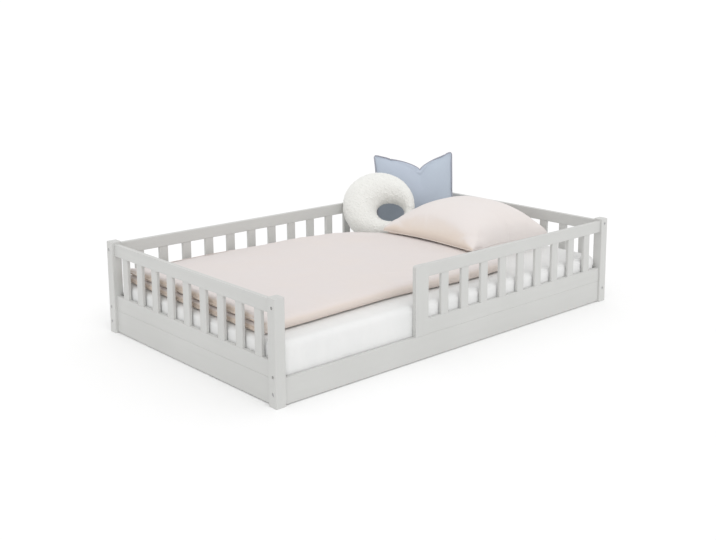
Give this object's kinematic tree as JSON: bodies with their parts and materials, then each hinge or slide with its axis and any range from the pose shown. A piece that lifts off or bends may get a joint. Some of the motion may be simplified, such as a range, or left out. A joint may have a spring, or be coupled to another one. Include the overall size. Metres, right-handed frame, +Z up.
{
  "type": "toddler floor bed",
  "caption": "Low slatted toddler floor bed with a side guard and an open way in, with mattress, folded duvet, pillow and two cushions.",
  "frame": {"origin": "on the floor under the middle of the bed frame", "axes": "+X from the foot end to the head end, +Y from the open front to the back panel, +Z up"},
  "size_m": [2.08, 1.2797, 0.6603],
  "materials": {
    "painted_wood": "satin light grey paint on pine",
    "bare_wood": "planed, unpainted",
    "bolt_steel": "zinc plated",
    "webbing": "woven strap",
    "mattress_cover": "plain woven cover over foam",
    "sheet_cotton": "smooth cotton",
    "duvet_cotton": "smooth washed cotton",
    "pillow_cotton": "smooth washed cotton",
    "boucle": "looped pile",
    "cushion_cotton": "plain weave with corded edge"
  },
  "bodies": {
    "frame": {"post_foot_front": "painted_wood", "post_foot_back": "painted_wood", "post_head_front": "painted_wood", "post_head_back": "painted_wood", "foot_base_board": "painted_wood", "foot_bottom_rail": "painted_wood", "foot_top_rail": "painted_wood", "head_base_board": "painted_wood", "head_bottom_rail": "painted_wood", "head_top_rail": "painted_wood", "back_base_board": "painted_wood", "back_bottom_rail": "painted_wood", "back_top_rail": "painted_wood", "front_base_board": "painted_wood", "guard_stile": "painted_wood", "guard_bottom_rail": "painted_wood", "guard_top_rail": "painted_wood", "foot_slat_1": "painted_wood", "foot_slat_2": "painted_wood", "foot_slat_3": "painted_wood", "foot_slat_4": "painted_wood", "foot_slat_5": "painted_wood", "foot_slat_6": "painted_wood", "foot_slat_7": "painted_wood", "foot_slat_8": "painted_wood", "foot_slat_9": "painted_wood", "guard_slat_1": "painted_wood", "guard_slat_2": "painted_wood", "guard_slat_3": "painted_wood", "guard_slat_4": "painted_wood", "guard_slat_5": "painted_wood", "guard_slat_6": "painted_wood", "guard_slat_7": "painted_wood", "guard_slat_8": "painted_wood", "guard_slat_9": "painted_wood", "head_slats": "painted_wood", "back_slats": "painted_wood", "panel_bolts": "bolt_steel", "ledger_front": "bare_wood", "ledger_back": "bare_wood", "center_beam": "bare_wood", "beam_feet": "bare_wood", "beam_brackets": "bare_wood", "base_slats": "bare_wood", "base_straps": "webbing"},
    "mattress_body": {"mattress": "mattress_cover", "fitted_sheet": "sheet_cotton"},
    "duvet_body": {"duvet": "duvet_cotton"},
    "pillow_body": {"pillow": "pillow_cotton"},
    "square_cushion_body": {"square_cushion": "cushion_cotton"},
    "ring_cushion_body": {"ring_cushion": "boucle"}
  },
  "joints": [
    {"name": "mattress_lift", "type": "slide", "parent": "frame", "child": "mattress_body", "axis": [0, 0, 1], "range_m": [0, 0.45]},
    {"name": "duvet_lift", "type": "slide", "parent": "mattress_body", "child": "duvet_body", "axis": [0, 0, 1], "range_m": [0, 0.45]},
    {"name": "pillow_lift", "type": "slide", "parent": "duvet_body", "child": "pillow_body", "axis": [0, 0, 1], "range_m": [0, 0.35]},
    {"name": "square_cushion_lift", "type": "slide", "parent": "mattress_body", "child": "square_cushion_body", "axis": [0, 0, 1], "range_m": [0, 0.45]},
    {"name": "ring_cushion_lift", "type": "slide", "parent": "square_cushion_body", "child": "ring_cushion_body", "axis": [0, 0, 1], "range_m": [0, 0.45]}
  ]
}
